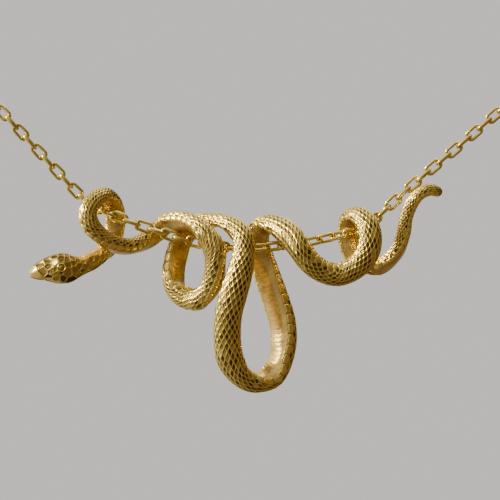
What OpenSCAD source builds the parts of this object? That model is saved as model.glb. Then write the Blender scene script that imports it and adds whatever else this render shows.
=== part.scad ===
// Snake pendant on a cable chain necklace, in millimetres.
// X is to the right and Y to the back as the wearer is seen from the front, Z is up.
// The origin is the middle of the neck opening, at the height of the nape.

/* [Snake] */
// How high the cast scales stand proud of the grooves between them
scale_relief = 0.14; // [0.06:0.02:0.18]
// Distance between two rings of the body along its length
ring_gap = 0.66; // [0.66:0.02:0.8]

/* [Chain] */
// Diameter of the wire that a link is bent from, thinner than real wire so that linked ovals stay clear
wire_d = 0.3; // [0.26:0.02:0.3]
// Width of an oval link, outside
link_w = 1.3; // [1.24:0.02:1.36]
// Length of an oval link, outside
link_l = 2.2; // [2.2:0.01:2.24]
// Distance between the middles of two links
link_pitch = 1.43; // [1.41:0.01:1.43]
// Links made one by one on each side of the lowest one
links_each_side = 26; // [24:1:26]

/* [Clasp] */
// Diameter of the closing ring, outside
clasp_d = 5.6; // [5:0.1:7]
// Diameter of its wire
clasp_wire = 0.9; // [0.7:0.1:1.1]

/* [Hidden] */
gold = [0.86, 0.65, 0.30];
bright_gold = [0.93, 0.74, 0.36];

// Where the middle of the pendant hangs, seen from the neck opening
HANG = [0, -56, -87];

// The snake from nose to tail tip, winding by winding, seen from the point where it hangs.
// Each row is a section of the body: its middle, its width and height, and where its belly faces.
X = 0;
Y = 1;
Z = 2;
WIDTH = 3;
HEIGHT = 4;
BELLY = [5, 6, 7];
UP = [0, 0, 1];
DOWN = -UP;
BACK = [0, 1, 0];
FRONT = -BACK;
RIGHT = [1, 0, 0];
LEFT = -RIGHT;
HEAD = [
    [[-23.6, -1.2, -2.6], [0.7, 0.6], DOWN],
    [[-23.2, -1.2, -2.5], [1.5, 1.3], DOWN],
    [[-22.1, -1.1, -2.15], [2.6, 2.2], DOWN],
    [[-20.6, -1.0, -2.0], [3.4, 3.1], DOWN],
    [[-19.4, -0.9, -1.95], [3.0, 3.0], DOWN],
    [[-18.3, -0.6, -1.7], [2.1, 2.0], DOWN],
    [[-17.2, 0.0, -1.2], [2.0, 1.9], DOWN]];
FIRST_COIL = [
    [[-16.0, 0.9, -0.4], [2.1, 1.8], DOWN + RIGHT],
    [[-15.1, 1.7, 0.7], [2.1, 1.7], RIGHT + FRONT],
    [[-14.6, 2.1, 2.1], [2.1, 1.6], FRONT],
    [[-14.5, 1.9, 3.8], [2.1, 1.5], FRONT],
    [[-14.8, 1.3, 5.1], [2.0, 1.4], FRONT + DOWN],
    [[-15.6, 0.0, 6.0], [1.9, 1.4], DOWN],
    [[-16.6, -1.5, 5.45], [1.9, 1.4], DOWN + BACK],
    [[-17.3, -2.2, 4.2], [1.9, 1.6], BACK + 0.7 * LEFT],
    [[-17.1, -2.2, 2.9], [2.0, 1.8], LEFT + 0.5 * BACK],
    [[-16.2, -1.8, 1.7], [2.0, 1.8], LEFT + DOWN]];
LOW_STRAND = [
    [[-14.7, -1.1, 0.7], [2.1, 1.8], DOWN + 0.1 * FRONT],
    [[-12.9, 0.1, 0.4], [2.1, 1.7], DOWN + 0.3 * FRONT],
    [[-11.2, 1.4, 1.1], [2.1, 1.7], DOWN + 0.8 * FRONT],
    [[-9.9, 2.1, 2.1], [2.1, 1.6], FRONT + 0.7 * DOWN]];
SECOND_ARCH = [
    [[-9.2, 1.9, 2.7], [2.1, 1.6], FRONT + 0.3 * DOWN],
    [[-8.3, 1.4, 3.1], [2.1, 1.7], FRONT + 0.8 * DOWN],
    [[-7.0, 0.4, 3.15], [2.1, 1.8], FRONT + DOWN],
    [[-5.7, -0.9, 2.65], [2.2, 1.8], DOWN + 0.4 * FRONT + 0.3 * LEFT],
    [[-4.7, -1.7, 1.7], [2.2, 1.9], DOWN + LEFT + 0.6 * BACK]];
SECOND_COIL = [
    [[-4.0, -2.1, 0.5], [2.3, 2.0], BACK + 0.2 * RIGHT],
    [[-3.7, -2.0, -1.3], [2.3, 2.2], RIGHT + 0.1 * BACK],
    [[-3.9, -1.5, -3.1], [2.3, 2.2], RIGHT + 0.3 * FRONT],
    [[-4.6, -0.9, -4.5], [2.3, 2.1], RIGHT + DOWN],
    [[-5.7, -0.2, -5.25], [2.3, 2.0], BACK + 0.7 * DOWN],
    [[-7.1, 0.7, -5.1], [2.3, 2.1], BACK + UP],
    [[-8.1, 1.3, -4.1], [2.4, 2.0], RIGHT + 0.7 * UP + 0.4 * FRONT],
    [[-8.3, 1.6, -2.6], [2.5, 1.8], FRONT + 0.8 * RIGHT],
    [[-8.0, 1.9, -0.8], [2.4, 1.6], FRONT + 0.5 * RIGHT],
    [[-7.4, 2.5, 0.9], [2.2, 1.4], FRONT]];
THIRD_ARCH = [
    [[-6.4, 2.7, 2.3], [2.1, 1.4], FRONT],
    [[-5.0, 1.9, 3.1], [2.1, 1.4], FRONT + DOWN],
    [[-3.5, 0.5, 3.2], [2.1, 1.4], DOWN],
    [[-2.3, -0.6, 2.9], [2.2, 1.5], DOWN],
    [[-1.3, -1.5, 2.2], [2.2, 1.6], DOWN + BACK],
    [[-0.7, -2.1, 1.1], [2.2, 1.7], BACK]];
LONG_LOOP = [
    [[-0.7, -2.4, -0.4], [2.3, 1.7], BACK],
    [[-1.1, -2.6, -2.5], [2.7, 1.8], BACK],
    [[-1.7, -2.6, -4.5], [2.9, 1.9], BACK],
    [[-2.3, -2.3, -6.8], [2.9, 2.0], BACK],
    [[-2.45, -1.8, -9.2], [2.9, 2.0], BACK],
    [[-2.2, -1.4, -11.5], [2.9, 2.0], BACK + 0.2 * RIGHT],
    [[-1.3, -0.7, -13.3], [2.8, 2.0], UP + BACK + RIGHT],
    [[0.4, 0.1, -14.3], [2.7, 2.0], UP],
    [[2.2, 0.7, -13.7], [2.7, 2.0], UP + FRONT],
    [[3.3, 1.1, -12.1], [2.7, 2.0], FRONT + LEFT],
    [[3.7, 1.5, -9.9], [2.8, 2.1], FRONT + 0.7 * LEFT],
    [[3.5, 1.9, -7.6], [2.9, 2.1], FRONT + 0.6 * LEFT],
    [[2.8, 2.1, -5.3], [2.9, 2.0], FRONT + 0.5 * LEFT],
    [[1.9, 2.3, -2.8], [2.8, 1.8], FRONT + 0.3 * LEFT],
    [[1.2, 2.4, -0.7], [2.6, 1.6], FRONT]];
FOURTH_ARCH = [
    [[0.8, 2.3, 0.9], [2.5, 1.6], FRONT],
    [[1.0, 1.6, 2.2], [2.4, 1.6], FRONT + DOWN],
    [[1.9, 0.6, 2.9], [2.5, 1.7], FRONT + 3 * DOWN],
    [[3.1, -0.7, 2.6], [2.5, 1.8], DOWN + 0.5 * BACK],
    [[4.2, -1.85, 1.6], [2.6, 1.9], BACK + 0.4 * DOWN + 0.3 * RIGHT],
    [[5.2, -2.35, 0.2], [2.5, 2.2], BACK + 0.9 * RIGHT + 0.7 * UP],
    [[6.2, -2.2, -1.1], [2.4, 2.4], 0.5 * BACK + RIGHT + 1.5 * UP]];
LAST_COIL = [
    [[7.6, -1.9, -2.2], [2.3, 2.4], 2 * UP + 0.4 * BACK + 0.6 * RIGHT],
    [[9.4, -1.7, -2.65], [2.3, 2.4], 2 * UP + 0.6 * BACK],
    [[11.1, -1.8, -2.05], [2.4, 2.2], BACK + 0.7 * UP],
    [[12.4, -2.1, -0.7], [2.5, 1.8], BACK + 0.3 * UP],
    [[12.9, -2.2, 0.9], [2.4, 1.6], BACK],
    [[12.7, -1.8, 2.5], [2.3, 1.6], BACK + 0.4 * DOWN],
    [[11.75, -0.6, 3.8], [2.2, 1.5], DOWN + 0.3 * BACK],
    [[10.9, 0.9, 3.6], [2.2, 1.4], DOWN + 0.5 * FRONT],
    [[10.6, 2.1, 2.2], [2.3, 1.4], FRONT],
    [[10.8, 2.3, 0.5], [2.3, 1.4], FRONT],
    [[11.5, 2.2, -0.9], [2.2, 1.5], FRONT]];
TAIL = [
    [[12.7, 1.7, -1.7], [2.0, 1.5], FRONT + UP],
    [[13.8, 1.2, -1.7], [1.9, 1.5], FRONT + RIGHT],
    [[15.0, 0.7, -1.0], [1.9, 1.5], FRONT + 2 * RIGHT],
    [[15.9, 0.3, 0.1], [1.9, 1.5], FRONT + 3 * RIGHT],
    [[16.5, 0.0, 1.8], [1.8, 1.5], RIGHT],
    [[16.8, -0.4, 3.6], [1.8, 1.4], RIGHT],
    [[17.4, -0.9, 5.1], [1.7, 1.4], RIGHT],
    [[18.25, -1.2, 6.05], [1.6, 1.35], RIGHT + DOWN],
    [[19.2, -1.25, 6.45], [1.5, 1.35], 2 * DOWN + RIGHT],
    [[19.95, -1.2, 6.3], [1.35, 1.2], DOWN + 0.3 * LEFT],
    [[20.35, -1.15, 6.1], [1.0, 0.9], DOWN + LEFT],
    [[20.5, -1.1, 6.0], [0.4, 0.35], DOWN + LEFT]];
WINDINGS = concat(
    HEAD, FIRST_COIL, LOW_STRAND, SECOND_ARCH, SECOND_COIL,
    THIRD_ARCH, LONG_LOOP, FOURTH_ARCH, LAST_COIL, TAIL);
SIDES = 20;
// Rings without scales at the tail's tip
SMOOTH_TIP = 4;

// The chain's route on the right and on the left, from its lowest point to the clasp at the nape
gap_to_tube = 0.12;
NAPE = [0, 112.5, 87];
ROUTE_RIGHT = [
    [2.4, -0.2, 0.4], [5.3, 0.2, 0.7], [8.0, 0.2, 1.25], [10.5, 0, 1.8], [11.6, 0.3, 1.95], [12.6, 0.5, 2.45],
    [13.5, 0.5, 3.4], [14.3, 0.5, 4.15], [17.8, 0.6, 7.3], [22.1, 0.6, 10.9], [26.4, 0.6, 14.6],
    [33, 2, 20.3], [41.5, 6, 28.5], [50, 14, 38], [57, 27, 48.5], [61, 42, 58], [61.5, 58, 67],
    [57, 75, 74.5], [47, 91, 80.5], [33, 103, 84.5], [17, 110.5, 86.5],
    NAPE + [clasp_d / 2 + gap_to_tube, 0, 0]];
ROUTE_LEFT = [
    [-2.9, 0.3, 0.35], [-5.0, 0.1, 0.65], [-8.0, -0.3, 1.4], [-11.6, -0.3, 2.6], [-14.1, -0.2, 3.5],
    [-16.5, 0.4, 4.5], [-17.6, 0.7, 5.25], [-18.8, 0.6, 6.4], [-22.7, 0.3, 10.6], [-26.6, 0.3, 14.8],
    [-33, 2, 21.5], [-41, 6, 30], [-50, 15, 40], [-57, 28, 50], [-61, 42, 59], [-61.5, 58, 67.5],
    [-57, 75, 74.5], [-47, 91, 80.5], [-33, 103, 84.5], [-17, 110.5, 86.5],
    NAPE - [clasp_d / 2 + gap_to_tube, 0, 0]];
LOWEST = [-0.3, 0, 0.2];
// Distance between the points that the route is measured on
ROUTE_STEP = 0.5;
// Half the distance over which its heading is taken
LOOK = 0.4;
// Distance between two rings of a plain tube
TUBE_STEP = 4.5;
TUBE_SIDES = 8;
LINK_RINGS = 10;
WIRE_SIDES = 5;

function unit(v) = v / norm(v);
function place(row) = [row[X], row[Y], row[Z]];
function reach(rows, i) = norm(place(rows[i + 1]) - place(rows[i]));

// A smooth curve through rows of any width, each row weighed by its distance to the next
function slope(rows, i) =
    let (last = len(rows) - 1)
    i == 0 ? (rows[1] - rows[0]) / reach(rows, 0) :
    i == last ? (rows[last] - rows[last - 1]) / reach(rows, last - 1) :
    (rows[i + 1] - rows[i - 1]) / (reach(rows, i - 1) + reach(rows, i));
function between(rows, i, t) =
    let (d = reach(rows, i), t2 = t * t, t3 = t2 * t)
    (2 * t3 - 3 * t2 + 1) * rows[i] + (t3 - 2 * t2 + t) * d * slope(rows, i)
    + (3 * t2 - 2 * t3) * rows[i + 1] + (t3 - t2) * d * slope(rows, i + 1);
function curve(rows, step) = [
    for (i = [0 : len(rows) - 2])
        let (n = max(1, round(reach(rows, i) / step)))
        for (j = [0 : n - 1]) between(rows, i, j / n),
    rows[len(rows) - 1]];
function heading(rows, i) =
    unit(place(rows[min(i + 1, len(rows) - 1)]) - place(rows[max(i - 1, 0)]));

// The snake's sections as plain numbers, close together
function plain(row) = concat(row[0], row[1], unit(row[2]));
SNAKE = curve([for (row = WINDINGS) plain(row)], ring_gap);
HEAD_RINGS = len(curve([for (row = HEAD) plain(row)], ring_gap));

// A half round back over a flatter belly, in parts of the half width and half height
SQUARE_SIDES = 0.75;
FLAT_BELLY = 0.6;
function section(a) =
    cos(a) >= 0 ? [sin(a), cos(a)] :
    [sign(sin(a)) * pow(abs(sin(a)), SQUARE_SIDES), -pow(abs(cos(a)), FLAT_BELLY)];

// The scales cover the back and the sides, from behind the head to just before the tail's tip
function is_scaled(i, a) = i > HEAD_RINGS && i < len(SNAKE) - SMOOTH_TIP && cos(a) > -0.5;
function scale_lift(i, j) = (i + j) % 2 == 0 ? scale_relief / 2 : -scale_relief / 2;
function snake_ring(i) =
    let (row = SNAKE[i],
         ahead = heading(SNAKE, i),
         faced = [row[BELLY[0]], row[BELLY[1]], row[BELLY[2]]],
         up = -unit(faced - (faced * ahead) * ahead),
         side = cross(ahead, up))
    [for (j = [0 : SIDES - 1])
        let (a = 360 * j / SIDES,
             at = section(a),
             lift = is_scaled(i, a) ? scale_lift(i, j) : 0)
        place(row) + side * at[0] * (row[WIDTH] / 2 + lift) + up * at[1] * (row[HEIGHT] / 2 + lift)];

// Faces of a tube of rings with closed ends, its quads cut from the low corner to the low corner
function quad(a, b, c, d, turn) = turn ? [[a, c, b], [a, d, c]] : [[a, d, b], [b, d, c]];
function tube_faces(rings, sides) = concat(
    [for (i = [0 : rings - 2], j = [0 : sides - 1])
        let (next = (j + 1) % sides, low = i * sides, high = low + sides)
        each quad(low + j, low + next, high + next, high + j, (i + j) % 2 == 1)],
    [for (j = [0 : sides - 1]) [rings * sides, j, (j + 1) % sides]],
    [for (j = [0 : sides - 1])
        [rings * sides + 1, (rings - 1) * sides + (j + 1) % sides, (rings - 1) * sides + j]]);

module snake() {
    rings = [for (i = [0 : len(SNAKE) - 1]) snake_ring(i)];
    points = concat([for (ring = rings) each ring], [place(SNAKE[0]), place(SNAKE[len(SNAKE) - 1])]);
    color(gold) translate(HANG) polyhedron(points, tube_faces(len(rings), SIDES), convexity = 10);
}

// The chain's middle line as a fine curve, measured from its lowest point to each side
function reversed(list) = [for (i = [len(list) - 1 : -1 : 0]) list[i]];
FINE = curve(concat(reversed(ROUTE_LEFT), [LOWEST], ROUTE_RIGHT), ROUTE_STEP);
function running(list, i, sum) = i >= len(list) ? [] :
    concat([sum], running(list, i + 1, i + 1 < len(list) ? sum + norm(list[i + 1] - list[i]) : sum));
FROM_START = running(FINE, 0, 0);
AT_LOWEST = FROM_START[len(curve(concat(reversed(ROUTE_LEFT), [LOWEST]), ROUTE_STEP)) - 1];
TRACK = [for (k = [X, Y, Z]) [for (i = [0 : len(FINE) - 1]) [FROM_START[i] - AT_LOWEST, FINE[i][k]]]];
CHAIN_START = -AT_LOWEST;
CHAIN_END = FROM_START[len(FINE) - 1] - AT_LOWEST;
function on_chain(s) = [for (k = [X, Y, Z]) lookup(s, TRACK[k])];
function chain_heading(s) =
    let (at = max(CHAIN_START + LOOK, min(CHAIN_END - LOOK, s)))
    unit(on_chain(at + LOOK) - on_chain(at - LOOK));
// Away from the neck, square to the chain
function outward(s) =
    let (p = on_chain(s), away = [p[X], p[Y] + HANG[Y], 0], ahead = chain_heading(s))
    unit(away - (away * ahead) * ahead);

// One link as rings round its own oval, which lies along ahead and across
function link_points(middle, ahead, across) =
    let (straight = (link_l - link_w) / 2,
         bend = (link_w - wire_d) / 2,
         through = cross(ahead, across))
    [for (i = [0 : LINK_RINGS - 1])
        let (half = LINK_RINGS / 2,
             end = i < half ? 1 : -1,
             turn = (i % half) * 180 / (half - 1) - 90,
             out = end * (ahead * cos(turn) + across * sin(turn)))
        for (j = [0 : WIRE_SIDES - 1])
            let (a = 360 * j / WIRE_SIDES,
                 wire = out * cos(a) + through * sin(a))
            middle + ahead * end * straight + out * bend + wire * wire_d / 2];
function link_faces(first) = [
    for (i = [0 : LINK_RINGS - 1], j = [0 : WIRE_SIDES - 1])
        let (n = (i + 1) % LINK_RINGS, k = (j + 1) % WIRE_SIDES)
        each [[first + i * WIRE_SIDES + j, first + i * WIRE_SIDES + k, first + n * WIRE_SIDES + j],
              [first + i * WIRE_SIDES + k, first + n * WIRE_SIDES + k, first + n * WIRE_SIDES + j]]];

module chain_front() {
    count = 2 * links_each_side + 1;
    each_link = LINK_RINGS * WIRE_SIDES;
    points = [
        for (i = [0 : count - 1])
            let (s = (i - links_each_side) * link_pitch,
                 last_touch = on_chain(s - link_pitch / 2),
                 next_touch = on_chain(s + link_pitch / 2),
                 ahead = unit(next_touch - last_touch),
                 rise = unit(cross(ahead, outward(s))),
                 flat = i % 2 == 0)
            each link_points((last_touch + next_touch) / 2, ahead, flat ? rise : cross(rise, ahead))];
    color(bright_gold) translate(HANG)
        polyhedron(points, [for (i = [0 : count - 1]) each link_faces(i * each_link)], convexity = 10);
}

// The plain stretch round the neck, one tube from each side to the clasp
module chain_stretch(from, to) {
    n = round(abs(to - from) / TUBE_STEP);
    points = [
        for (i = [0 : n])
            let (s = from + (to - from) * i / n,
                 out = outward(s),
                 rise = cross(chain_heading(s), out))
            for (j = [0 : TUBE_SIDES - 1])
                let (a = 360 * j / TUBE_SIDES) on_chain(s) + (out * cos(a) + rise * sin(a)) * link_w / 2];
    ends = [on_chain(from), on_chain(to)];
    polyhedron(concat(points, ends), tube_faces(n + 1, TUBE_SIDES), convexity = 4);
}

module chain_back() {
    first = links_each_side * link_pitch + link_l / 2 + gap_to_tube;
    color(bright_gold) translate(HANG) {
        chain_stretch(first, CHAIN_END);
        chain_stretch(CHAIN_START, -first);
    }
}

module clasp() {
    color(bright_gold) translate(HANG + NAPE) rotate([90, 0, 0])
        rotate_extrude($fn = 64) translate([(clasp_d - clasp_wire) / 2, 0]) circle(d = clasp_wire, $fn = 24);
}

snake();
chain_front();
chain_back();
clasp();
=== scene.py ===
from math import cos, pi, radians, sin
from random import Random

import bmesh
import bpy
import numpy as np
from mathutils import Matrix, Vector


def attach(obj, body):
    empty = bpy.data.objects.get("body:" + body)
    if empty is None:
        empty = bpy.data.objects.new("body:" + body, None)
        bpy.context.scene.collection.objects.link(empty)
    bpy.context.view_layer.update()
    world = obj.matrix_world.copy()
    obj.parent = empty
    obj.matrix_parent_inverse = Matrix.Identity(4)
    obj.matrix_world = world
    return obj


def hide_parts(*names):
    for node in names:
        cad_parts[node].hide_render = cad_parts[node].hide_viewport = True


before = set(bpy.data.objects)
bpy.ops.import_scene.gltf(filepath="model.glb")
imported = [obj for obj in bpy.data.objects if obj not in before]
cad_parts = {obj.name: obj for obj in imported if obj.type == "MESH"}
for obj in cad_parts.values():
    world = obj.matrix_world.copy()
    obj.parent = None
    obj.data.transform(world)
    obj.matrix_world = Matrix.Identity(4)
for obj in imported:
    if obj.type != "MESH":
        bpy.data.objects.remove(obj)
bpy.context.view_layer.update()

# All is worked in millimetres, seen from the point where the pendant hangs, and turned into metres last
MM = 0.001
HANG = Vector((0, -56, -87))
UP, DOWN = Vector((0, 0, 1)), Vector((0, 0, -1))
BACK, FRONT = Vector((0, 1, 0)), Vector((0, -1, 0))
RIGHT, LEFT = Vector((1, 0, 0)), Vector((-1, 0, 0))

# The snake from nose to tail tip: x, y, z of a section's middle, its width, its height, and its belly's way
HEAD = [
    (-23.6, -1.2, -2.6, 0.7, 0.6, DOWN),
    (-23.2, -1.2, -2.5, 1.5, 1.3, DOWN),
    (-22.1, -1.1, -2.15, 2.6, 2.2, DOWN),
    (-20.6, -1.0, -2.0, 3.4, 3.1, DOWN),
    (-19.4, -0.9, -1.95, 3.0, 3.0, DOWN),
    (-18.3, -0.6, -1.7, 2.1, 2.0, DOWN),
    (-17.2, 0.0, -1.2, 2.0, 1.9, DOWN)]
FIRST_COIL = [
    (-16.0, 0.9, -0.4, 2.1, 1.8, DOWN + RIGHT),
    (-15.1, 1.7, 0.7, 2.1, 1.7, RIGHT + FRONT),
    (-14.6, 2.1, 2.1, 2.1, 1.6, FRONT),
    (-14.5, 1.9, 3.8, 2.1, 1.5, FRONT),
    (-14.8, 1.3, 5.1, 2.0, 1.4, FRONT + DOWN),
    (-15.6, 0.0, 6.0, 1.9, 1.4, DOWN),
    (-16.6, -1.5, 5.45, 1.9, 1.4, DOWN + BACK),
    (-17.3, -2.2, 4.2, 1.9, 1.6, BACK + 0.7 * LEFT),
    (-17.1, -2.2, 2.9, 2.0, 1.8, LEFT + 0.5 * BACK),
    (-16.2, -1.8, 1.7, 2.0, 1.8, LEFT + DOWN)]
LOW_STRAND = [
    (-14.7, -1.1, 0.7, 2.1, 1.8, DOWN + 0.1 * FRONT),
    (-12.9, 0.1, 0.4, 2.1, 1.7, DOWN + 0.3 * FRONT),
    (-11.2, 1.4, 1.1, 2.1, 1.7, DOWN + 0.8 * FRONT),
    (-9.9, 2.1, 2.1, 2.1, 1.6, FRONT + 0.7 * DOWN)]
SECOND_ARCH = [
    (-9.2, 1.9, 2.7, 2.1, 1.6, FRONT + 0.3 * DOWN),
    (-8.3, 1.4, 3.1, 2.1, 1.7, FRONT + 0.8 * DOWN),
    (-7.0, 0.4, 3.15, 2.1, 1.8, FRONT + DOWN),
    (-5.7, -0.9, 2.65, 2.2, 1.8, DOWN + 0.4 * FRONT + 0.3 * LEFT),
    (-4.7, -1.7, 1.7, 2.2, 1.9, DOWN + LEFT + 0.6 * BACK)]
SECOND_COIL = [
    (-4.0, -2.1, 0.5, 2.3, 2.0, BACK + 0.2 * RIGHT),
    (-3.7, -2.0, -1.3, 2.3, 2.2, RIGHT + 0.1 * BACK),
    (-3.9, -1.5, -3.1, 2.3, 2.2, RIGHT + 0.3 * FRONT),
    (-4.6, -0.9, -4.5, 2.3, 2.1, RIGHT + DOWN),
    (-5.7, -0.2, -5.25, 2.3, 2.0, BACK + 0.7 * DOWN),
    (-7.1, 0.7, -5.1, 2.3, 2.1, BACK + UP),
    (-8.1, 1.3, -4.1, 2.4, 2.0, RIGHT + 0.7 * UP + 0.4 * FRONT),
    (-8.3, 1.6, -2.6, 2.5, 1.8, FRONT + 0.8 * RIGHT),
    (-8.0, 1.9, -0.8, 2.4, 1.6, FRONT + 0.5 * RIGHT),
    (-7.4, 2.5, 0.9, 2.2, 1.4, FRONT)]
THIRD_ARCH = [
    (-6.4, 2.7, 2.3, 2.1, 1.4, FRONT),
    (-5.0, 1.9, 3.1, 2.1, 1.4, FRONT + DOWN),
    (-3.5, 0.5, 3.2, 2.1, 1.4, DOWN),
    (-2.3, -0.6, 2.9, 2.2, 1.5, DOWN),
    (-1.3, -1.5, 2.2, 2.2, 1.6, DOWN + BACK),
    (-0.7, -2.1, 1.1, 2.2, 1.7, BACK)]
LONG_LOOP = [
    (-0.7, -2.4, -0.4, 2.3, 1.7, BACK),
    (-1.1, -2.6, -2.5, 2.7, 1.8, BACK),
    (-1.7, -2.6, -4.5, 2.9, 1.9, BACK),
    (-2.3, -2.3, -6.8, 2.9, 2.0, BACK),
    (-2.45, -1.8, -9.2, 2.9, 2.0, BACK),
    (-2.2, -1.4, -11.5, 2.9, 2.0, BACK + 0.2 * RIGHT),
    (-1.3, -0.7, -13.3, 2.8, 2.0, UP + BACK + RIGHT),
    (0.4, 0.1, -14.3, 2.7, 2.0, UP),
    (2.2, 0.7, -13.7, 2.7, 2.0, UP + FRONT),
    (3.3, 1.1, -12.1, 2.7, 2.0, FRONT + LEFT),
    (3.7, 1.5, -9.9, 2.8, 2.1, FRONT + 0.7 * LEFT),
    (3.5, 1.9, -7.6, 2.9, 2.1, FRONT + 0.6 * LEFT),
    (2.8, 2.1, -5.3, 2.9, 2.0, FRONT + 0.5 * LEFT),
    (1.9, 2.3, -2.8, 2.8, 1.8, FRONT + 0.3 * LEFT),
    (1.2, 2.4, -0.7, 2.6, 1.6, FRONT)]
FOURTH_ARCH = [
    (0.8, 2.3, 0.9, 2.5, 1.6, FRONT),
    (1.0, 1.6, 2.2, 2.4, 1.6, FRONT + DOWN),
    (1.9, 0.6, 2.9, 2.5, 1.7, FRONT + 3 * DOWN),
    (3.1, -0.7, 2.6, 2.5, 1.8, DOWN + 0.5 * BACK),
    (4.2, -1.85, 1.6, 2.6, 1.9, BACK + 0.4 * DOWN + 0.3 * RIGHT),
    (5.2, -2.35, 0.2, 2.5, 2.2, BACK + 0.9 * RIGHT + 0.7 * UP),
    (6.2, -2.2, -1.1, 2.4, 2.4, 0.5 * BACK + RIGHT + 1.5 * UP)]
LAST_COIL = [
    (7.6, -1.9, -2.2, 2.3, 2.4, 2 * UP + 0.4 * BACK + 0.6 * RIGHT),
    (9.4, -1.7, -2.65, 2.3, 2.4, 2 * UP + 0.6 * BACK),
    (11.1, -1.8, -2.05, 2.4, 2.2, BACK + 0.7 * UP),
    (12.4, -2.1, -0.7, 2.5, 1.8, BACK + 0.3 * UP),
    (12.9, -2.2, 0.9, 2.4, 1.6, BACK),
    (12.7, -1.8, 2.5, 2.3, 1.6, BACK + 0.4 * DOWN),
    (11.75, -0.6, 3.8, 2.2, 1.5, DOWN + 0.3 * BACK),
    (10.9, 0.9, 3.6, 2.2, 1.4, DOWN + 0.5 * FRONT),
    (10.6, 2.1, 2.2, 2.3, 1.4, FRONT),
    (10.8, 2.3, 0.5, 2.3, 1.4, FRONT),
    (11.5, 2.2, -0.9, 2.2, 1.5, FRONT)]
TAIL = [
    (12.7, 1.7, -1.7, 2.0, 1.5, FRONT + UP),
    (13.8, 1.2, -1.7, 1.9, 1.5, FRONT + RIGHT),
    (15.0, 0.7, -1.0, 1.9, 1.5, FRONT + 2 * RIGHT),
    (15.9, 0.3, 0.1, 1.9, 1.5, FRONT + 3 * RIGHT),
    (16.5, 0.0, 1.8, 1.8, 1.5, RIGHT),
    (16.8, -0.4, 3.6, 1.8, 1.4, RIGHT),
    (17.4, -0.9, 5.1, 1.7, 1.4, RIGHT),
    (18.25, -1.2, 6.05, 1.6, 1.35, RIGHT + DOWN),
    (19.2, -1.25, 6.45, 1.5, 1.35, 2 * DOWN + RIGHT),
    (19.95, -1.2, 6.3, 1.35, 1.2, DOWN + 0.3 * LEFT),
    (20.35, -1.15, 6.1, 1.0, 0.9, DOWN + LEFT),
    (20.5, -1.1, 6.0, 0.4, 0.35, DOWN + LEFT)]
WINDINGS = HEAD + FIRST_COIL + LOW_STRAND + SECOND_ARCH + SECOND_COIL
WINDINGS += THIRD_ARCH + LONG_LOOP + FOURTH_ARCH + LAST_COIL + TAIL

# The clasp at the nape: how far to each side its ring reaches, and how far back and up it lies
CLASP_EDGE = 2.92
NAPE = (112.5, 87)
# The chain's route, from its lowest point to the clasp on each side
ROUTE_RIGHT = [
    (2.4, -0.2, 0.4), (5.3, 0.2, 0.7), (8.0, 0.2, 1.25), (10.5, 0, 1.8), (11.6, 0.3, 1.95),
    (12.6, 0.5, 2.45), (13.5, 0.5, 3.4), (14.3, 0.5, 4.15), (17.8, 0.6, 7.3), (22.1, 0.6, 10.9),
    (26.4, 0.6, 14.6),
    (33, 2, 20.3), (41.5, 6, 28.5), (50, 14, 38), (57, 27, 48.5), (61, 42, 58), (61.5, 58, 67),
    (57, 75, 74.5), (47, 91, 80.5), (33, 103, 84.5), (17, 110.5, 86.5), (CLASP_EDGE, *NAPE)]
ROUTE_LEFT = [
    (-2.9, 0.3, 0.35), (-5.0, 0.1, 0.65), (-8.0, -0.3, 1.4), (-11.6, -0.3, 2.6), (-14.1, -0.2, 3.5),
    (-16.5, 0.4, 4.5), (-17.6, 0.7, 5.25), (-18.8, 0.6, 6.4), (-22.7, 0.3, 10.6), (-26.6, 0.3, 14.8),
    (-33, 2, 21.5), (-41, 6, 30), (-50, 15, 40), (-57, 28, 50), (-61, 42, 59), (-61.5, 58, 67.5),
    (-57, 75, 74.5), (-47, 91, 80.5), (-33, 103, 84.5), (-17, 110.5, 86.5), (-CLASP_EDGE, *NAPE)]
LOWEST = (-0.3, 0, 0.2)


def smooth_curve(rows, step):
    """A smooth curve through the rows, each weighed by its distance to the next."""
    rows = np.array(rows, float)
    gaps = np.linalg.norm(np.diff(rows[:, :3], axis=0), axis=1)
    slopes = np.empty_like(rows)
    slopes[0] = (rows[1] - rows[0]) / gaps[0]
    slopes[-1] = (rows[-1] - rows[-2]) / gaps[-1]
    slopes[1:-1] = (rows[2:] - rows[:-2]) / (gaps[:-1] + gaps[1:])[:, None]
    points = []
    for i, gap in enumerate(gaps):
        n = max(1, round(gap / step))
        for t in np.arange(n) / n:
            t2, t3 = t * t, t * t * t
            points.append(
                (2 * t3 - 3 * t2 + 1) * rows[i] + (t3 - 2 * t2 + t) * gap * slopes[i]
                + (3 * t2 - 2 * t3) * rows[i + 1] + (t3 - t2) * gap * slopes[i + 1])
    points.append(rows[-1])
    return np.array(points)


def distances(points):
    """How far along the curve each point is."""
    return np.concatenate([[0], np.cumsum(np.linalg.norm(np.diff(points[:, :3], axis=0), axis=1))])


def nearest(points, place):
    """Which of the points is nearest to the place."""
    return np.argmin(np.linalg.norm(points - np.array(place), axis=1))


def unit(v):
    return v / np.linalg.norm(v, axis=-1, keepdims=True)


# The snake's middle line with its sizes, and the two directions that its sections are drawn in
SPINE_STEP = 0.05
spine = smooth_curve([(*row[:5], *row[5].normalized()) for row in WINDINGS], SPINE_STEP)
spine_s = distances(spine)
spine_ahead = unit(np.gradient(spine[:, :3], axis=0))
belly_way = spine[:, 5:8]
spine_up = -unit(belly_way - np.sum(belly_way * spine_ahead, axis=1, keepdims=True) * spine_ahead)
spine_side = np.cross(spine_ahead, spine_up)
spine_table = np.concatenate([spine[:, :5], spine_side, spine_up], axis=1)
NECK = spine_s[nearest(spine[:, :3], HEAD[-1][:3])]
LENGTH = spine_s[-1]

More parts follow.
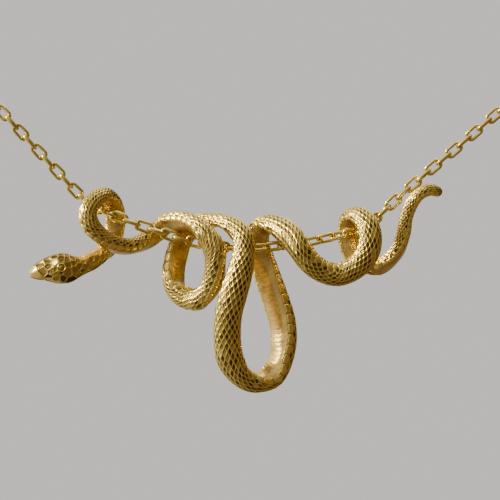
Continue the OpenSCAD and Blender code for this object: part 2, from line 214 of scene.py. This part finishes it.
# The section is round over the back and flatter under the belly
SQUARE_SIDES = 0.75
FLAT_BELLY = 0.6


def body_at(s):
    """Middle, width, height, side and up of the section at s along the snake."""
    row = np.array([np.interp(s, spine_s, column) for column in spine_table.T])
    return Vector(row[:3]), row[3], row[4], Vector(row[5:8]).normalized(), Vector(row[8:]).normalized()


def wrapped(s, degrees, lift):
    """The place on the snake at s along it and that far round it from the middle of the back."""
    middle, width, height, side, up = body_at(s)
    a = radians(degrees)
    across, high = sin(a), cos(a)
    if high < 0:
        across = np.sign(across) * abs(across) ** SQUARE_SIDES
        high = -(abs(high) ** FLAT_BELLY)
    return middle + side * across * (width / 2 + lift) + up * high * (height / 2 + lift)


def middle_of(face):
    return face.calc_center_median()


def inset_each(bm, faces, thickness, depth):
    bmesh.ops.inset_individual(bm, faces=faces, thickness=thickness, depth=depth, use_even_offset=True)


def verts_in(geom):
    return [v for v in geom if isinstance(v, bmesh.types.BMVert)]


# Points nearer to each other than this are one
WELD = 0.004


def close_ends(bm):
    bmesh.ops.remove_doubles(bm, verts=bm.verts, dist=WELD)
    bmesh.ops.holes_fill(bm, edges=[e for e in bm.edges if e.is_boundary], sides=0)
    bmesh.ops.recalc_face_normals(bm, faces=bm.faces)


def make_object(name, bm, material):
    mesh = bpy.data.meshes.new(name)
    bm.to_mesh(mesh)
    bm.free()
    mesh.materials.append(material)
    mesh.shade_smooth()
    obj = bpy.data.objects.new(name, mesh)
    bpy.context.collection.objects.link(obj)
    return obj


def jewel_piece(name, bm, gold):
    """Moves what was worked round the pendant to where it hangs, and turns millimetres into metres."""
    bmesh.ops.translate(bm, vec=HANG, verts=bm.verts)
    bmesh.ops.scale(bm, vec=(MM, MM, MM), verts=bm.verts)
    return make_object(name, bm, gold)


# The skin is worked as a flat sheet, x along the body and y round it, and then wrapped on.
# Its cells: a row along the body, and a column of the back, of the back's edge and of the belly.
ROW = 1.1
COLUMN = 0.5
EDGE_COLUMN = 0.7
BELLY_COLUMN = 0.3
BACK_COLUMNS = 11
BELLY_COLUMNS = 6
SCALES_END = (BACK_COLUMNS - 2) * COLUMN / 2
EDGE = SCALES_END + EDGE_COLUMN
FAR_EDGE = EDGE + BELLY_COLUMNS * BELLY_COLUMN
# What is nearer than this to a line of the sheet lies on it
HAIR = 0.01

# On the snake the rows follow its width, and begin under the head's last plates
ROW_BY_WIDTH = 0.38
LEAST_ROW = 0.22
UNDER_HEAD = 0.3
# The belly begins this many degrees from the middle of the back, and its plates are bowed along the body
BELLY_EDGE = 137
BELLY_BOW = 0.45
BOW_RUN = 2
# The relief is lower where the body is thinner than this, and over the last rows of the tail
RIDGE = 0.05
FULL_WIDTH = 2.2
TAIL_ROWS = 6

# The steps in which a plate of the back's edge is let in: how far inwards, how deep, and how dark; the dark
# groove round each plate is partly patina and partly painted shade
EDGE_STEPS = [
    (0.03, -0.07, 0.9),
    (0.05, 0.07, 0.1),
    (0.14, 0, 0)]
# The same for a scale: how far inwards, how deep, how far its rear lip leans up, and how dark; the dark walls
# and floor of each dish are partly patina and partly painted shade
SCALE_STEPS = [
    (0.03, -0.005, 0, 0),
    (0.05, -0.13, 0.04, 1),
    (0.07, 0.03, 0, 0.75)]
# How much darker each dish is at its deep head end than at its raised rear lip: painted shade
HEAD_END_SHADE = 0.3
# No two scales are cast alike: how much their slope along, their slope across and their stain vary
CAST_SEED = 4
VARY_ALONG = 0.03
VARY_ACROSS = 0.06
VARY_STAIN = 0.25

# The line between two plates of the belly
BELLY_LINE = 0.05
BELLY_RISE = 0.006
BELLY_LINE_STAIN = 0.5


def scale_rows():
    """Where each row of scales begins, closer together where the body is thin."""
    starts = [HEAD_LENGTH - UNDER_HEAD]
    while starts[-1] < LENGTH:
        starts.append(starts[-1] + max(LEAST_ROW, ROW_BY_WIDTH * body_at(starts[-1])[1]))
    stretch = (LENGTH - starts[0]) / (starts[-1] - starts[0])
    return [starts[0] + (s - starts[0]) * stretch for s in starts]


def on_belly(y):
    return EDGE + HAIR < y < FAR_EDGE - HAIR


def skin_sheet(rows):
    """The flat sheet: staggered diamonds, a row of plates at each edge, and the belly's wide plates."""
    bm = bmesh.new()
    columns = BACK_COLUMNS + BELLY_COLUMNS
    bmesh.ops.create_grid(bm, x_segments=rows, y_segments=columns, size=0.5)
    lines = [0, 1, BACK_COLUMNS - 1, BACK_COLUMNS, columns]
    places = [-EDGE, -SCALES_END, SCALES_END, EDGE, FAR_EDGE]
    for v in bm.verts:
        v.co = (
            (v.co.x + 0.5) * rows * ROW,
            np.interp((v.co.y + 0.5) * columns, lines, places),
            RIDGE)
    # Each cell of the back is cut crosswise, and the triangles on the two sides of a grid line make a diamond
    inner = [f for f in bm.faces if abs(middle_of(f).y) < SCALES_END]
    centres = set(bmesh.ops.poke(bm, faces=inner)["verts"])
    crossed = [
        e for e in bm.edges
        if len(e.link_faces) == 2 and not centres & set(e.verts)
        and any(len(f.verts) == 3 for f in e.link_faces)]
    bmesh.ops.dissolve_edges(bm, edges=crossed, use_verts=False)
    # Beyond the scales a row is long, so it is cut to follow the body's bends
    long_edges = [
        e for e in bm.edges
        if e.calc_length() > ROW - HAIR and abs(e.verts[0].co.y - e.verts[1].co.y) < HAIR
        and (e.verts[0].co.y > EDGE - HAIR or e.verts[0].co.y < HAIR - EDGE)]
    bmesh.ops.subdivide_edges(bm, edges=long_edges, cuts=3, use_grid_fill=True)
    return bm


def raise_belly(bm, patina_and_shade):
    """The belly's wide plates, two to a row of scales, with a stained line between them."""
    rows = {}
    for f in bm.faces:
        c = middle_of(f)
        if c.y > EDGE:
            rows.setdefault(int(2 * c.x / ROW), []).append(f)
    for v in bm.verts:
        v[patina_and_shade] = BELLY_LINE_STAIN if on_belly(v.co.y) else 0
    for row in rows.values():
        bmesh.ops.inset_region(
            bm, faces=row, thickness=BELLY_LINE, depth=BELLY_RISE, use_boundary=True, use_even_offset=True)
        for v in {v for f in row for v in f.verts}:
            v[patina_and_shade] = 0


def sink_scales(bm, patina_and_shade):
    """Each scale is a shallow dish in a net of polished ridges, leaning up towards its rear lip."""
    scales = [f for f in bm.faces if abs(middle_of(f).y) < SCALES_END]
    plates = [f for f in bm.faces if SCALES_END < abs(middle_of(f).y) < EDGE]
    for thickness, depth, dark in EDGE_STEPS:
        inset_each(bm, plates, thickness, depth)
        # The groove round the plate is painted dark: partly patina, partly painted shade
        for v in {v for f in plates for v in f.verts}:
            v[patina_and_shade] = dark
    chance = Random(CAST_SEED)
    cast = [
        (chance.gauss(0, VARY_ALONG), chance.gauss(0, VARY_ACROSS), chance.gauss(0, VARY_STAIN))
        for _ in scales]
    for thickness, depth, lean, dark in SCALE_STEPS:
        inset_each(bm, scales, thickness, depth)
        if dark == 0:
            continue
        for f, (along, across, shade) in zip(scales, cast):
            c = middle_of(f)
            for v in f.verts:
                x, y = v.co.x - c.x, v.co.y - c.y
                # Dark on the dish's walls and floor, partly patina and partly painted shade, with painted
                # shade towards its head end and a random tone for each scale
                v[patina_and_shade] = min(1, max(0, dark + shade - HEAD_END_SHADE * x / (ROW / 2)))
                v.co.z += lean * x / (ROW / 2) + (along * x + across * y) / 2


def snake_body(gold):
    starts = scale_rows()
    rows = len(starts) - 1
    bm = skin_sheet(rows)
    patina_and_shade = bm.verts.layers.float.new("patina_and_shade")
    belly = bm.verts.layers.float.new("belly")
    raise_belly(bm, patina_and_shade)
    sink_scales(bm, patina_and_shade)
    for v in bm.verts:
        x, y, lift = v.co
        across = (y - (EDGE + FAR_EDGE) / 2) / (FAR_EDGE - EDGE) * 2
        bow = BELLY_BOW * max(0, 1 - across * across) * min(1, x / BOW_RUN, (rows * ROW - x) / BOW_RUN)
        row = (x - bow) / ROW
        s = float(np.interp(row, range(rows + 1), starts))
        degrees = float(np.interp(
            y, [-EDGE, EDGE, FAR_EDGE], [-BELLY_EDGE, BELLY_EDGE, 360 - BELLY_EDGE]))
        fade = min(1, (rows - row) / TAIL_ROWS) * min(1, body_at(s)[1] / FULL_WIDTH)
        if on_belly(y):
            v[belly] = 1
            lift -= RIDGE
        v.co = wrapped(s, degrees, lift * fade)
    close_ends(bm)
    return jewel_piece("snake_body", bm, gold)


# Plates of the head: how far from the nose, how far round from the crown, and how deep and dark; the dark of
# a deep plate is partly patina and partly painted shade in its recess
SIDE_PLATES = [
    (0.35, 45, 0), (0.55, 108, 0), (0.9, 150, 0.1),
    (1.3, 12, 0.8), (1.3, 48, 0.9), (1.5, 95, 0.65),
    (2.1, 12, 0.8), (2.1, 44, 0.9), (2.15, 78, 0.9), (2.3, 96, 0.5), (2.0, 116, 1), (2.0, 142, 0.1),
    (2.75, 26, 1), (2.7, 60, 0), (2.8, 98, 0.5), (2.85, 122, 0.3), (2.9, 152, 0.1),
    (3.5, 12, 0.8), (3.5, 46, 0.9), (3.45, 86, 0.8), (3.65, 122, 0.9),
    (4.15, 18, 0.8), (4.1, 50, 0.8), (4.15, 76, 0.6), (4.05, 98, 0.5), (4.25, 130, 1),
    (4.8, 14, 0.7), (4.7, 42, 0.7), (4.7, 70, 0.6), (4.65, 96, 0.6), (4.95, 120, 0.5),
    (5.25, 28, 0.5), (5.2, 56, 0.5), (5.15, 84, 0.6), (5.3, 108, 0.8),
    (5.7, 14, 0.1), (5.7, 42, 0.1), (5.65, 68, 0.2), (5.7, 94, 0.5), (5.7, 128, 0.2),
    (6.2, 24, 0), (6.15, 54, 0), (6.2, 82, 0.3), (6.2, 110, 0.4),
    (6.8, 12, 0), (6.7, 40, 0), (6.7, 68, 0.3), (6.7, 96, 0.2), (6.75, 124, 0.5),
    (7.3, 24, 0), (7.25, 54, 0), (7.2, 84, 0.3), (7.3, 114, 0.4),
    (7.9, 12, 0), (7.8, 40, 0), (7.8, 70, 0.1), (7.8, 98, 0.2), (7.8, 128, 0.3),
    (8.5, 26, 0), (8.4, 56, 0), (8.4, 86, 0.1), (8.4, 114, 0.1)]
# The plates under the chin: how far from the nose, how far round from the crown, and how deep and dark, the
# dark partly patina and partly painted shade
CHIN_PLATES = [0.7, 2.0, 3.4, 4.8, 6.2, 7.4, 8.5]
CHIN_ROUND = 179
CHIN_STAIN_AND_SHADE = 0.1

# The head's skin is a flat sheet too, in millimetres along it and round it
MM_PER_DEGREE = 0.025
HEAD_LENGTH = 8.7
# Only seeds nearer than this bound a plate, and corners nearer to each other than this are one
NEIGHBOUR = 3
CORNER = 0.09
# The steps in which a plate is let in: how far inwards and how deep, and what it keeps of its size at least
HEAD_STEPS = [(0.02, 0), (0.04, -0.1), (0.1, 0.03)]
LEAST_PLATE = 0.5
# Plates paler than this are shallower, and the dark ones are deeper by up to this
PALE_PLATE = 0.25
DARK_DEPTH = 0.1
# How dark a plate is painted, more for darker plates: partly patina, partly painted shade in its recess
PLATE_STAIN_AND_SHADE = 0.25
STAIN_AND_SHADE_BY_DARK = 0.7
# How much darker the head's ridges are than the neck's
RIDGE_STAIN = 0.4
# The flush plates between these distances from the nose lean up towards the brow
BROW = (1, 4)
BROW_LEAN = 0.3
# The skin's height, and the slope in which it ends under the first scales
HEAD_LIFT = 0.06
REAR_SLOPE = 0.15
REAR_RUN = 0.4
# Edges longer than this are cut in two, so that they follow the head's curve
LONG_EDGE = 0.45
# Smooth like the belly: the chin beyond so many degrees, and the neck's back within so many
CHIN_EDGE = 145
NECK_STRIP = 60
NECK_RUN = 0.6


def plate_cells(seeds, length):
    """The flat sheet of the head: around each seed a plate that ends halfway to its neighbours."""
    bm = bmesh.new()
    half = 180 * MM_PER_DEGREE
    stain_and_shade = bm.faces.layers.float.new("stain_and_shade")
    for seed, dark in seeds:
        cell = bmesh.new()
        bmesh.ops.create_grid(cell, x_segments=1, y_segments=1, size=0.5)
        bmesh.ops.translate(cell, vec=(0.5, 0, 0), verts=cell.verts)
        bmesh.ops.scale(cell, vec=(length, 2 * half, 1), verts=cell.verts)
        for other, _ in seeds:
            if other != seed and (other - seed).length < NEIGHBOUR:
                bmesh.ops.bisect_plane(
                    cell, geom=cell.verts[:] + cell.edges[:] + cell.faces[:], dist=1e-5,
                    plane_co=(seed + other) / 2, plane_no=other - seed, clear_outer=True)
        whole = bpy.data.meshes.new("plate")
        cell.to_mesh(whole)
        cell.free()
        known = set(bm.faces)
        bm.from_mesh(whole)
        bpy.data.meshes.remove(whole)
        for f in bm.faces:
            if f not in known:
                f[stain_and_shade] = dark
    bmesh.ops.remove_doubles(bm, verts=bm.verts, dist=CORNER)
    return bm


def sink_plates(bm, patina_and_shade, stain_and_shade):
    """A plate lies in a frame of polished ridges, the deeper the darker it is, the dark partly patina and
    partly painted shade.
    """
    plates = list(bm.faces)
    for thickness, depth in HEAD_STEPS:
        plates = bmesh.ops.extrude_discrete_faces(bm, faces=plates)["faces"]
        for f in plates:
            c = middle_of(f)
            room = min(((e.verts[0].co + e.verts[1].co) / 2 - c).length for e in f.edges)
            for v in f.verts:
                v.co = c + (v.co - c) * max(LEAST_PLATE, 1 - thickness / room)
                v.co.z += depth * min(1, f[stain_and_shade] / PALE_PLATE)
                if depth < 0:
                    v.co.z -= DARK_DEPTH * f[stain_and_shade]
                if depth:
                    # Painted dark of the plate: partly patina, partly painted shade in its recess
                    v[patina_and_shade] = PLATE_STAIN_AND_SHADE + STAIN_AND_SHADE_BY_DARK * f[stain_and_shade] if f[stain_and_shade] else 0
    for f in plates:
        c = middle_of(f)
        if f[stain_and_shade] == 0 and BROW[0] < c.x < BROW[1]:
            for v in f.verts:
                v.co.z += BROW_LEAN * (v.co.x - c.x)
    return plates


def snake_head(gold):
    rows = SIDE_PLATES + [(u, CHIN_ROUND, CHIN_STAIN_AND_SHADE) for u in CHIN_PLATES]
    seeds = [(Vector((u, side * a * MM_PER_DEGREE, 0)), dark) for u, a, dark in rows for side in (1, -1)]
    bm = plate_cells(seeds, HEAD_LENGTH)
    stain_and_shade = bm.faces.layers.float["stain_and_shade"]
    bmesh.ops.subdivide_edges(bm, edges=[e for e in bm.edges if e.calc_length() > LONG_EDGE], cuts=1)
    patina_and_shade = bm.verts.layers.float.new("patina_and_shade")
    belly = bm.verts.layers.float.new("belly")
    for v in bm.verts:
        v.co.z = HEAD_LIFT
        v[patina_and_shade] = RIDGE_STAIN * min(1, max(0, NECK + 1 - v.co.x))
    plates = sink_plates(bm, patina_and_shade, stain_and_shade)
    for e in {e for f in plates for e in f.edges}:
        e.smooth = False
    bmesh.ops.triangulate(bm, faces=plates, quad_method="BEAUTY", ngon_method="BEAUTY")
    for v in bm.verts:
        x, y, lift = v.co
        degrees = y / MM_PER_DEGREE
        neck_back = x > NECK - NECK_RUN and abs(degrees) < NECK_STRIP
        v[belly] = 1 if abs(degrees) > CHIN_EDGE or neck_back else 0
        v.co = wrapped(max(x, 0), degrees, lift - REAR_SLOPE * max(0, x - HEAD_LENGTH + REAR_RUN))
    close_ends(bm)
    return jewel_piece("snake_head", bm, gold)


# How far from the nose and round the head the eye lies, and the radii of its cast ring and its low ball
EYE = (3.45, 86)
EYE_RING = 0.42
EYE_RING_WIRE = 0.08
EYE_RING_LIFT = 0.02
EYE_RING_STAIN = 0.3
EYE_BALL = 0.36
EYE_BALL_FLAT = 0.5
EYE_BALL_SINK = 0.08
EYE_BALL_STAIN = 0.65


def spun_ring(bm, start, radius, around, steps):
    """A circle of wire at the start, spun once round Z. Gives the points of the whole ring."""
    known = set(bm.verts)
    circle = bmesh.ops.create_circle(bm, segments=around, radius=radius, matrix=start)["verts"]
    edges = [e for e in bm.edges if e.verts[0] in circle and e.verts[1] in circle]
    bmesh.ops.spin(
        bm, geom=circle + edges, cent=(0, 0, 0), axis=(0, 0, 1), angle=2 * pi, steps=steps, use_merge=True)
    return [v for v in bm.verts if v not in known]


def snake_eyes(gold):
    """A cast ring round a low dark ball on each side of the head."""
    bm = bmesh.new()
    patina_and_shade = bm.verts.layers.float.new("patina_and_shade")
    bm.verts.layers.float.new("belly")
    upright = Matrix.Rotation(pi / 2, 4, "X")
    for side in (1, -1):
        s, degrees = EYE[0], side * EYE[1]
        place = wrapped(s, degrees, 0)
        out = (wrapped(s, degrees, 1) - place).normalized()
        turn = out.to_track_quat("Z", "Y").to_matrix().to_4x4()
        start = Matrix.Translation((EYE_RING, 0, EYE_RING_LIFT)) @ upright
        ring = spun_ring(bm, start, EYE_RING_WIRE, around=8, steps=20)
        ball = bmesh.ops.create_uvsphere(bm, u_segments=16, v_segments=10, radius=EYE_BALL)["verts"]
        bmesh.ops.scale(bm, vec=(1, 1, EYE_BALL_FLAT), verts=ball)
        bmesh.ops.translate(bm, vec=(0, 0, -EYE_BALL_SINK), verts=ball)
        bmesh.ops.transform(bm, matrix=Matrix.Translation(place) @ turn, verts=ring + ball)
        for v in ring:
            v[patina_and_shade] = EYE_RING_STAIN
        for v in ball:
            v[patina_and_shade] = EYE_BALL_STAIN
    bmesh.ops.recalc_face_normals(bm, faces=bm.faces)
    return jewel_piece("snake_eyes", bm, gold)


# One link of the chain, of wire that is a little higher than wide, and how it lies
WIRE = 0.41
FLAT_WIRE = 1.12
LINK_WIDTH = 1.36
LINK_LENGTH = 2.26
PITCH = 1.43
FRONT_LINKS = 26
# The jump ring on each side of the clasp's ring, and where it and the last link lie beside the nape
JUMP_RING = 2.1
JUMP_WIRE = 0.34
JUMP_MIDDLE = 2.58
LAST_LINK = 3.97
# How far the chain has turned about its own line, in degrees at some distances from its lowest point
ROLLS = [(-40, 0), (-12, 5), (-3, 10), (1, 35), (4, 45), (9, 45), (13, 15), (18, 0), (40, 0)]
# The links face the front as far as this from the middle, and outwards from so much farther on
FACES_FRONT = 25
TURNS_OVER = 20

ROUTE_STEP = 0.1
route = smooth_curve(ROUTE_LEFT[::-1] + [LOWEST] + ROUTE_RIGHT, ROUTE_STEP)
route_s = distances(route)
route_s = route_s - route_s[nearest(route, LOWEST)]


def on_route(s):
    return Vector([np.interp(s, route_s, column) for column in route.T])


def outward(place, ahead):
    """To the front where the pendant hangs, away from the neck beyond it, and square to the chain."""
    turned = min(1, max(0, (abs(place.x) - FACES_FRONT) / TURNS_OVER))
    away = Vector((place.x * turned, place.y + HANG.y, 0))
    return (away - away.dot(ahead) * ahead).normalized()


def link_matrix(s, index, pitch):
    before, after = on_route(s - pitch / 2), on_route(s + pitch / 2)
    ahead = (after - before).normalized()
    middle = (before + after) / 2
    rise = ahead.cross(outward(middle, ahead)).normalized()
    roll = np.interp(s, *zip(*ROLLS)) + (0 if index % 2 == 0 else 90)
    across = Matrix.Rotation(radians(roll), 3, ahead) @ rise
    turn = Matrix((ahead, across, ahead.cross(across))).transposed().to_4x4()
    return Matrix.Translation(middle) @ turn


def wire_ring(bm, radius, wire, around, steps, stretch=0):
    """A closed ring of wire, flat on XY, pulled out along X into an oval where it is stretched."""
    start = Matrix.Rotation(pi / steps, 4, "Z")
    start = start @ Matrix.Translation((radius, 0, 0)) @ Matrix.Rotation(pi / 2, 4, "X")
    fresh = spun_ring(bm, start, wire / 2, around, steps)
    for v in fresh:
        v.co.x += stretch if v.co.x > 0 else -stretch
        v.co.z *= FLAT_WIRE
    return fresh


def chain_piece(name, places, gold, rings=()):
    bm = bmesh.new()
    wire_ring(
        bm, (LINK_WIDTH - WIRE) / 2, WIRE, around=6, steps=12, stretch=(LINK_LENGTH - LINK_WIDTH) / 2)
    master = bm.verts[:] + bm.edges[:] + bm.faces[:]
    for place in places:
        copy = bmesh.ops.duplicate(bm, geom=master)["geom"]
        bmesh.ops.transform(bm, matrix=place, verts=verts_in(copy))
    bmesh.ops.delete(bm, geom=verts_in(master), context="VERTS")
    for place in rings:
        jump = wire_ring(bm, (JUMP_RING - JUMP_WIRE) / 2, JUMP_WIRE, around=8, steps=24)
        bmesh.ops.transform(bm, matrix=place, verts=jump)
    bmesh.ops.recalc_face_normals(bm, faces=bm.faces)
    return jewel_piece(name, bm, gold)


def chain_links_front(gold):
    places = [link_matrix(i * PITCH, i, PITCH) for i in range(-FRONT_LINKS, FRONT_LINKS + 1)]
    return chain_piece("chain_links_front", places, gold)


def chain_links_back(gold):
    places = []
    for side, end in ((1, route_s[-1]), (-1, -route_s[0])):
        first = FRONT_LINKS * PITCH
        last = end - (LAST_LINK - CLASP_EDGE)
        count = 2 * round((last - first) / PITCH / 2)
        pitch = (last - first) / count
        places += [link_matrix(side * (first + i * pitch), i, pitch) for i in range(1, count + 1)]
    nape = Vector((0, *NAPE))
    rings = [Matrix.Translation(nape + Vector((side * JUMP_MIDDLE, 0, 0))) for side in (1, -1)]
    return chain_piece("chain_links_back", places, gold, rings)


def add_node(tree, kind, inputs, **settings):
    """A new node whose inputs are set to values, or linked where the value is another node's output."""
    node = tree.nodes.new("ShaderNode" + kind)
    for name, value in settings.items():
        setattr(node, name, value)
    for key, value in inputs.items():
        if isinstance(value, bpy.types.NodeSocket):
            tree.links.new(value, node.inputs[key])
        else:
            node.inputs[key].default_value = value
    return node


def attribute(tree, name):
    return add_node(tree, "Attribute", {}, attribute_name=name).outputs["Fac"]


def noise(tree, scale, detail):
    place = add_node(tree, "TexCoord", {}).outputs["Object"]
    return add_node(tree, "TexNoise", {"Vector": place, "Scale": scale, "Detail": detail}).outputs["Fac"]


def ramp(tree, value, stops):
    """The colour between the stops, each a value and the colour that it has there."""
    node = add_node(tree, "ValToRGB", {"Fac": value})
    elements = node.color_ramp.elements
    elements[0].position, elements[0].color = stops[0]
    elements[-1].position, elements[-1].color = stops[-1]
    for position, colour in stops[1:-1]:
        elements.new(position).color = colour
    return node.outputs["Color"]


def mixed(tree, factor, colour, other):
    """The colour, turning into the other one as the factor rises to 1."""
    return add_node(tree, "Mix", {0: factor, 6: colour, 7: other}, data_type="RGBA").outputs[2]


def spread(tree, value, start, end, low, high):
    """The value from start to end, spread over low to high."""
    inputs = {"Value": value, "From Min": start, "From Max": end, "To Min": low, "To Max": high}
    return add_node(tree, "MapRange", inputs).outputs["Result"]


def raised(tree, base, value, share):
    """The base and a share of the value."""
    return add_node(tree, "Math", {0: value, 1: share, 2: base}, operation="MULTIPLY_ADD").outputs["Value"]


def new_material(name):
    material = bpy.data.materials.new(name)
    material.use_nodes = True
    return material, material.node_tree, material.node_tree.nodes["Principled BSDF"]


def scaled_gold():
    """Cast gold: bright on the crests, brown in the hollows as partly patina and partly painted shade, deeper
    and smoother on the belly.
    """
    material, tree, principled = new_material("scaled_gold")
    # The patina attribute holds darkening that is partly patina and partly painted shade in the hollows
    patina_and_shade, belly = attribute(tree, "patina_and_shade"), attribute(tree, "belly")
    cloud = noise(tree, scale=900, detail=4)

    belly_gold = ramp(tree, cloud, [(0.4, (0.64, 0.45, 0.17, 1)), (0.6, (0.9, 0.64, 0.2, 1))])
    clean = mixed(tree, belly, (0.90, 0.68, 0.19, 1), belly_gold)
    # Towards dark brown where that darkening is high: partly patina, partly painted shade
    depth = ramp(tree, patina_and_shade, [(0.15, (0, 0, 0, 1)), (0.95, (1, 1, 1, 1))])
    colour = mixed(tree, depth, clean, (0.11, 0.06, 0.02, 1))

    rough = spread(tree, cloud, 0.3, 0.7, 0.22, 0.3)
    rough = raised(tree, rough, patina_and_shade, 0.1)
    rough = raised(tree, rough, belly, 0.05)

    hollows = add_node(tree, "Bump", {
        "Strength": belly, "Distance": 0.00005, "Height": noise(tree, scale=800, detail=0)})
    grain = add_node(tree, "Bump", {
        "Strength": raised(tree, 0.25, belly, -0.17), "Distance": 0.00003,
        "Height": noise(tree, scale=5000, detail=3), "Normal": hollows.outputs["Normal"]})

    principled.inputs["Metallic"].default_value = 1
    tree.links.new(colour, principled.inputs["Base Color"])
    tree.links.new(rough, principled.inputs["Roughness"])
    tree.links.new(grain.outputs["Normal"], principled.inputs["Normal"])
    return material


def polished_gold():
    material, tree, principled = new_material("polished_gold")
    cloud = noise(tree, scale=700, detail=3)
    colour = ramp(tree, cloud, [(0.35, (0.74, 0.56, 0.13, 1)), (0.65, (0.88, 0.72, 0.25, 1))])
    principled.inputs["Metallic"].default_value = 1
    tree.links.new(colour, principled.inputs["Base Color"])
    tree.links.new(spread(tree, cloud, 0, 1, 0.05, 0.15), principled.inputs["Roughness"])
    return material


# The floor is a disc below the pendant, in metres
FLOOR_RADIUS = 0.42
FLOOR_DEPTH = 0.15


def pale_floor():
    material, _, principled = new_material("pale_floor")
    principled.inputs["Base Color"].default_value = (0.74, 0.72, 0.69, 1)
    principled.inputs["Roughness"].default_value = 0.7
    bm = bmesh.new()
    bmesh.ops.create_circle(bm, cap_ends=True, segments=96, radius=FLOOR_RADIUS)
    bmesh.ops.translate(bm, vec=(0, 0, -FLOOR_DEPTH), verts=bm.verts)
    floor = make_object("floor", bm, material)
    floor.visible_glossy = False


def soft_light(name, place, aim, size, power, colour):
    light = bpy.data.lights.new(name, "AREA")
    light.size = size
    light.energy = power
    light.color = colour
    obj = bpy.data.objects.new(name, light)
    obj.location = place
    obj.rotation_euler = (aim - place).to_track_quat("-Z", "Y").to_euler()
    bpy.context.collection.objects.link(obj)


# Where the surroundings are brightest: to the left and above, and a little behind
BRIGHT_SIDE = Vector((-0.8, 0.3, 0.5))
BRIGHTNESS = 1.4
SURROUNDINGS = [
    (0.1, (0.17, 0.12, 0.07, 1)),
    (0.3, (0.14, 0.11, 0.07, 1)),
    (0.5, (0.32, 0.29, 0.22, 1)),
    (0.7, (0.55, 0.51, 0.4, 1)),
    (0.9, (1, 0.94, 0.8, 1))]


def studio():
    """A pale backdrop to the eye, with dimmer surroundings for the metal to mirror."""
    world = bpy.data.worlds.new("studio")
    world.use_nodes = True
    tree = world.node_tree
    tree.nodes.clear()
    place = add_node(tree, "TexCoord", {}).outputs["Generated"]
    towards = add_node(tree, "VectorMath", {0: place, 1: BRIGHT_SIDE.normalized()}, operation="DOT_PRODUCT")
    around = ramp(tree, spread(tree, towards.outputs["Value"], -1, 1, 0, 1), SURROUNDINGS)
    around = add_node(tree, "Background", {"Color": around, "Strength": BRIGHTNESS})
    seen = add_node(tree, "Background", {"Color": (0.72, 0.70, 0.67, 1)})
    ray = add_node(tree, "LightPath", {}).outputs["Is Camera Ray"]
    mix = add_node(tree, "MixShader", {
        0: ray, 1: around.outputs["Background"], 2: seen.outputs["Background"]})
    add_node(tree, "OutputWorld", {"Surface": mix.outputs["Shader"]})
    bpy.context.scene.world = world
    aim = HANG * MM
    key_place = aim + Vector((-0.53, -0.14, 0.26))
    rim_place = aim + Vector((0.1, 0.25, 0.45))
    soft_light("key", key_place, aim, size=0.2, power=7, colour=(1, 0.91, 0.66))
    soft_light("rim", rim_place, aim, size=0.35, power=0.7, colour=(1, 0.93, 0.8))


# The photograph's 500 pixels take in this many metres, seen from this far, on a sensor of usual width
PHOTO_WIDTH = 0.05365
CAMERA_AWAY = 0.8
SENSOR = 36


def camera():
    """Straight at the pendant from far off."""
    data = bpy.data.cameras.new("camera")
    data.sensor_width = SENSOR
    data.lens = SENSOR * CAMERA_AWAY / PHOTO_WIDTH
    data.clip_start, data.clip_end = 0.01, 20
    obj = bpy.data.objects.new("camera", data)
    obj.location = HANG * MM + Vector((0, -CAMERA_AWAY, 0))
    obj.rotation_euler = (pi / 2, 0, 0)
    bpy.context.collection.objects.link(obj)
    bpy.context.scene.camera = obj


snake_gold = scaled_gold()
chain_gold = polished_gold()
for piece in (snake_body(snake_gold), snake_head(snake_gold), snake_eyes(snake_gold)):
    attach(piece, "pendant")
    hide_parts("snake")
chains = [(chain_links_front(chain_gold), "chain_front"), (chain_links_back(chain_gold), "chain_back")]
for piece, node in chains:
    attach(piece, "chain")
    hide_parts(node)
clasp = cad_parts["clasp"]
clasp.data.materials.clear()
clasp.data.materials.append(chain_gold)
pale_floor()
studio()
camera()
